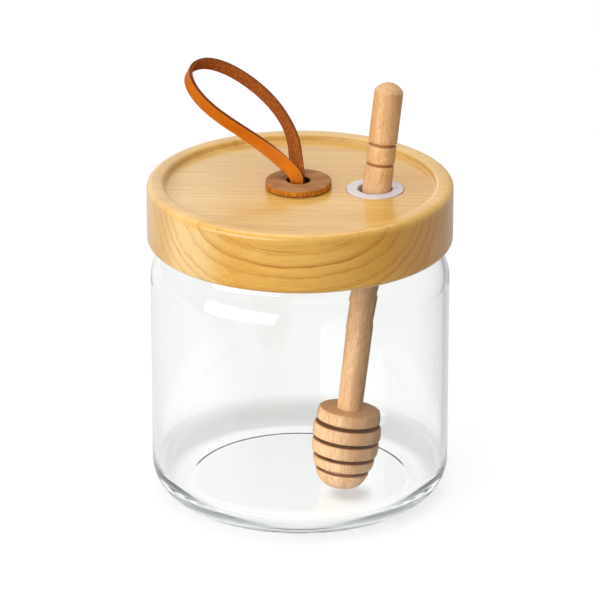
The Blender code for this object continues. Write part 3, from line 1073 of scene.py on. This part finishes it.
def washerMaterial():
    # napped flesh side up, with a raw cut edge whose fibres stand upright, and the hole's wall painted
    # nearly black as painted shade
    size = washerSize
    look = washerLook
    board = Board("washerLeather")
    spot = board.place()
    x, y, z = board.split(spot)
    radius = ((x - size["place"][0]) ** 2.0 + (y - size["place"][1]) ** 2.0) ** 0.5
    nap = board.noise(spot, look["napGrain"], 4.0, 0.7)
    cloud = board.step(board.noise(spot, look["cloudGrain"], 3.0), *look["cloudRange"])
    top = board.mix(cloud, look["flesh"], look["fleshPale"])
    top = board.mix(board.step(nap, *look["napRange"]) * look["napShare"], top, look["fleshDark"])
    hatch = board.step(board.noise(spot, look["hatchGrain"]), *look["hatchRange"])
    edge = board.mix(hatch, look["edge"], look["edgeDark"])
    outside = board.step(size["radius"] - radius, *look["edgeInset"])
    lower = board.step(size["top"] - z, *look["edgeDrop"])
    leather = board.mix(outside * lower, top, edge)
    # painted shade: the wall of the hole is made nearly black
    hole = board.step(radius, size["hole"] + look["holeShade"], size["hole"])
    leather = board.mix(hole, leather, look["hole"])
    sockets = {
        "Base Color": leather,
        "Roughness": look["gloss"] + nap * look["napGloss"],
        "Specular IOR Level": look["shine"],
        "Normal": board.bump(nap, look["napDepth"], 0.6),
    }
    return board.finish(sockets)


def makeWasher():
    size = washerSize
    wide, hole, top, low = size["radius"], size["hole"], size["top"], size["bottom"]
    middle = (wide, 0.5 * (top + low))
    corners = [middle, (wide, low), (hole, low), (hole, top), (wide, top), middle]
    profile = roundLine(np.array(corners), size["edge"], 5)
    profile = refineLine(profile, size["meshStep"])[:-1]
    grid = turnGrid(profile, size["columns"]) + np.array([*size["place"], 0.0])
    patches = [patch(grid, wrapRows=True)]
    makePiece("washerLeather", patches, washerMaterial(), "strap_washer")


makeStrap()
makeWasher()
print("strap and washer made")


# levels of light; a pair of levels is left and right, and a pair of places is where one fades
# into the other, in metres on the floor and as parts of a direction in the room
studio = {
    "aim": (0.0, 0.0, 0.08),
    "floorSize": 8.0,
    "floorDrop": 0.2 * mm,
    "frontPlace": (-0.16, -0.05),
    "sidePlace": (-0.3, 0.3),
    # painted light under the jar, a painted shadow ring round it and a painted shadow under the dipper's
    # head
    "underRadius": (50.0 * mm, 42.0 * mm),
    "shadowRingRadius": (86.0 * mm, 58.0 * mm),
    "nearRadius": (80.0 * mm, 48.0 * mm),
    "shadePlace": (17.5 * mm, -13.0 * mm),
    "shadeRadius": (10.0 * mm, 3.0 * mm),
    "shade": 0.38,
    "floorColour": 0.40,
    "frontColour": 0.12,
    "speckleGrain": 40.0,
    "speckle": 0.015,
    "floorGlow": 0.64,
    "frontGlow": 0.90,
    "floorThrough": 1.05,
    "shadowRingThrough": 0.80,
    "underThrough": 1.16,
    "floorMirrored": (0.50, 0.12),
    "floorInner": (0.95, 0.25),
    "floorInnerNear": 1.02,
    "floorLit": 0.05,
    "underLit": 0.75,
    "trapped": 1.10,
    "glassGain": 2.4,
    "roomSeen": 1.0,
    "roomThrough": (1.05, 0.95),
    "roomThroughPlace": (-0.5, 0.5),
    "roomSides": (0.25, 0.04),
    "roomSidePlace": (-0.8, 0.8),
    "roomTop": 0.60,
    "roomTopPlace": (0.1, 0.9),
    "mirroredFront": 0.05,
    "mirroredBack": (1.40, 0.60),
    "backSplit": (-0.12, 0.12),
    "backPlace": (-0.5, 0.5),
    "innerShare": 0.30,
    "windowPlace": (-0.56, -0.62, 0.50),
    "windowEdge": (0.80, 0.94),
    "windowThroughGlass": 7.0,
}

softboxes = {
    "topSoftbox": {"place": (0.1, 0.15, 1.7), "size": (1.7, 1.7), "power": 14.8},
    "windowSoftbox": {"place": (-0.66, -0.62, 0.24), "size": (1.0, 0.62), "power": 6.9},
    "fillSoftbox": {"place": (-0.15, -0.93, 0.32), "size": (1.0, 0.62), "power": 3.7, "mirrored": False},
}

cameraSettings = {
    "lens": 276.0,
    "sensor": 36.0,
    "distance": 1.5873,
    "elevation": 21.93,
    "aimHeight": 0.06909,
    "clip": (0.05, 50.0),
}


def throughGlass(board):
    # 1 for light that has passed a glass face on its way, otherwise 0
    return board.add("LightPath", out="Transmission Depth").smaller(1.0)


def lightSeen(board, seen, mirrored, lit):
    # each pair is a level in the open and one through the glass: where it is looked at, where a
    # face mirrors it once, and where it lights a dull face; mirrored again it is trapped light
    lighting = board.add("LightPath", out="Diffuse Depth").smaller(1.0)
    mirrors = board.add("LightPath", out="Glossy Depth")
    entered = throughGlass(board)
    straight, once, dull = [between(*pair, entered) for pair in (seen, mirrored, lit)]
    again = (mirrors - 1.0).larger(0.0).smaller(1.0)
    level = between(straight, once, mirrors.smaller(1.0)) + again * (studio["trapped"] - once)
    return between(level, dull, lighting)


def floorMaterial():
    # painted light under the jar, a painted shadow ring round it and a painted shadow under the dipper's
    # head, and other levels in front of the jar than behind it, and on its left than on its right
    board = Board("litTable")
    spot = board.place()
    x, y = board.split(spot)[:2]
    radius = (x * x + y * y) ** 0.5
    shadeX, shadeY = studio["shadePlace"]
    apart = ((x - shadeX) ** 2.0 + (y - shadeY) ** 2.0) ** 0.5
    shade = board.step(apart, *studio["shadeRadius"]) * studio["shade"]
    under = board.step(radius, *studio["underRadius"])
    ring = board.step(radius, *studio["shadowRingRadius"])
    near = board.step(radius, *studio["nearRadius"])
    behind = board.step(y, *studio["frontPlace"])
    seen = between(studio["frontGlow"], studio["floorGlow"], behind)
    # seen through the glass: painted light under the jar, a painted shadow ring round it and the painted
    # shadow of the dipper's head
    through = between(studio["floorThrough"], studio["shadowRingThrough"], ring)
    through = between(through, studio["underThrough"], under) * (1.0 - shade)
    mirrored = behind * board.step(x, *studio["sidePlace"], *studio["floorMirrored"])
    inner = behind * board.step(x, *studio["sidePlace"], *studio["floorInner"])
    inner = between(inner, studio["floorInnerNear"], near)
    lit = between(studio["floorLit"], studio["underLit"], under)
    lit = (lit, lit * studio["glassGain"])
    colour = between(studio["frontColour"], studio["floorColour"], behind)
    speckle = 1.0 - board.noise(spot, studio["speckleGrain"]) * studio["speckle"]
    level = lightSeen(board, (seen, through), (mirrored, inner), lit)
    sockets = {
        "Base Color": board.grey(colour * speckle * (1.0 - throughGlass(board))),
        "Roughness": 0.75,
        "Specular IOR Level": 0.0,
        "Emission Color": board.grey(level),
        "Emission Strength": 1.0,
    }
    return board.finish(sockets)


def makeFloor():
    # a wide table just under the jar's foot
    half = 0.5 * studio["floorSize"]
    u = np.linspace(-half, half, 9)
    x, y = np.meshgrid(u, u)
    grid, faces = patch(np.stack([x, y, np.full_like(x, -studio["floorDrop"])], 2), False, False)
    mesh = bpy.data.meshes.new("studioFloor")
    mesh.from_pydata(grid.reshape(-1, 3).tolist(), [], faces.tolist())
    mesh.materials.append(floorMaterial())
    floor = bpy.data.objects.new("studioFloor", mesh)
    scene.collection.objects.link(floor)


def makeRoom():
    # pale room: brighter on the left and above, dimmer on the right, with a white sheet behind,
    # and a bright window for what is lit through the glass
    board = Board("paleRoom", room=True)
    x, y, z = board.split(board.add("TexCoord", out="Generated"))
    side = board.step(x, *studio["roomSidePlace"], *studio["roomSides"])
    lit = between(side, studio["roomTop"], board.step(z, *studio["roomTopPlace"]))
    back = board.step(x, *studio["backSplit"], *studio["mirroredBack"])
    mirrored = between(studio["mirroredFront"], back, board.step(y, *studio["backPlace"]))
    toWindow = (Vector(studio["windowPlace"]) - Vector(studio["aim"])).normalized()
    facing = x * toWindow[0] + y * toWindow[1] + z * toWindow[2]
    window = board.step(facing, *studio["windowEdge"]) * studio["windowThroughGlass"]
    lit = (lit, lit * studio["glassGain"] + window)
    through = board.step(x, *studio["roomThroughPlace"], *studio["roomThrough"])
    mirrored = (mirrored, mirrored * studio["innerShare"])
    level = lightSeen(board, (studio["roomSeen"], through), mirrored, lit)
    light = board.add("Background", None, {"Color": board.grey(level), "Strength": 1.0})
    board.add("OutputWorld", None, {"Surface": light})
    scene.world = board.owner


def makeSoftbox(name, place, size, power, mirrored=True):
    # a rectangle of light that faces the jar, and may be kept out of its reflections
    lamp = bpy.data.lights.new(name, "AREA")
    lamp.shape = "RECTANGLE"
    lamp.size, lamp.size_y = size
    lamp.energy = power
    light = bpy.data.objects.new(name, lamp)
    light.location = place
    aim = Vector(studio["aim"]) - Vector(place)
    light.rotation_euler = aim.to_track_quat("-Z", "Y").to_euler()
    light.visible_glossy = light.visible_transmission = mirrored
    scene.collection.objects.link(light)


def makeCamera():
    settings = cameraSettings
    lens = bpy.data.cameras.new("frontCamera")
    lens.sensor_width = settings["sensor"]
    lens.lens = settings["lens"]
    lens.clip_start, lens.clip_end = settings["clip"]
    camera = bpy.data.objects.new("frontCamera", lens)
    tilt = math.radians(settings["elevation"])
    reach = settings["distance"]
    height = settings["aimHeight"] + reach * math.sin(tilt)
    camera.location = (0.0, -reach * math.cos(tilt), height)
    camera.rotation_euler = (math.radians(90.0) - tilt, 0.0, 0.0)
    scene.collection.objects.link(camera)
    scene.camera = camera


makeFloor()
makeRoom()
for name, box in softboxes.items():
    makeSoftbox(name, **box)
makeCamera()
scene.view_settings.view_transform = "Standard"
scene.cycles.max_bounces = 32
scene.cycles.glossy_bounces = 24
scene.cycles.transmission_bounces = 24
print("floor, light and camera set")
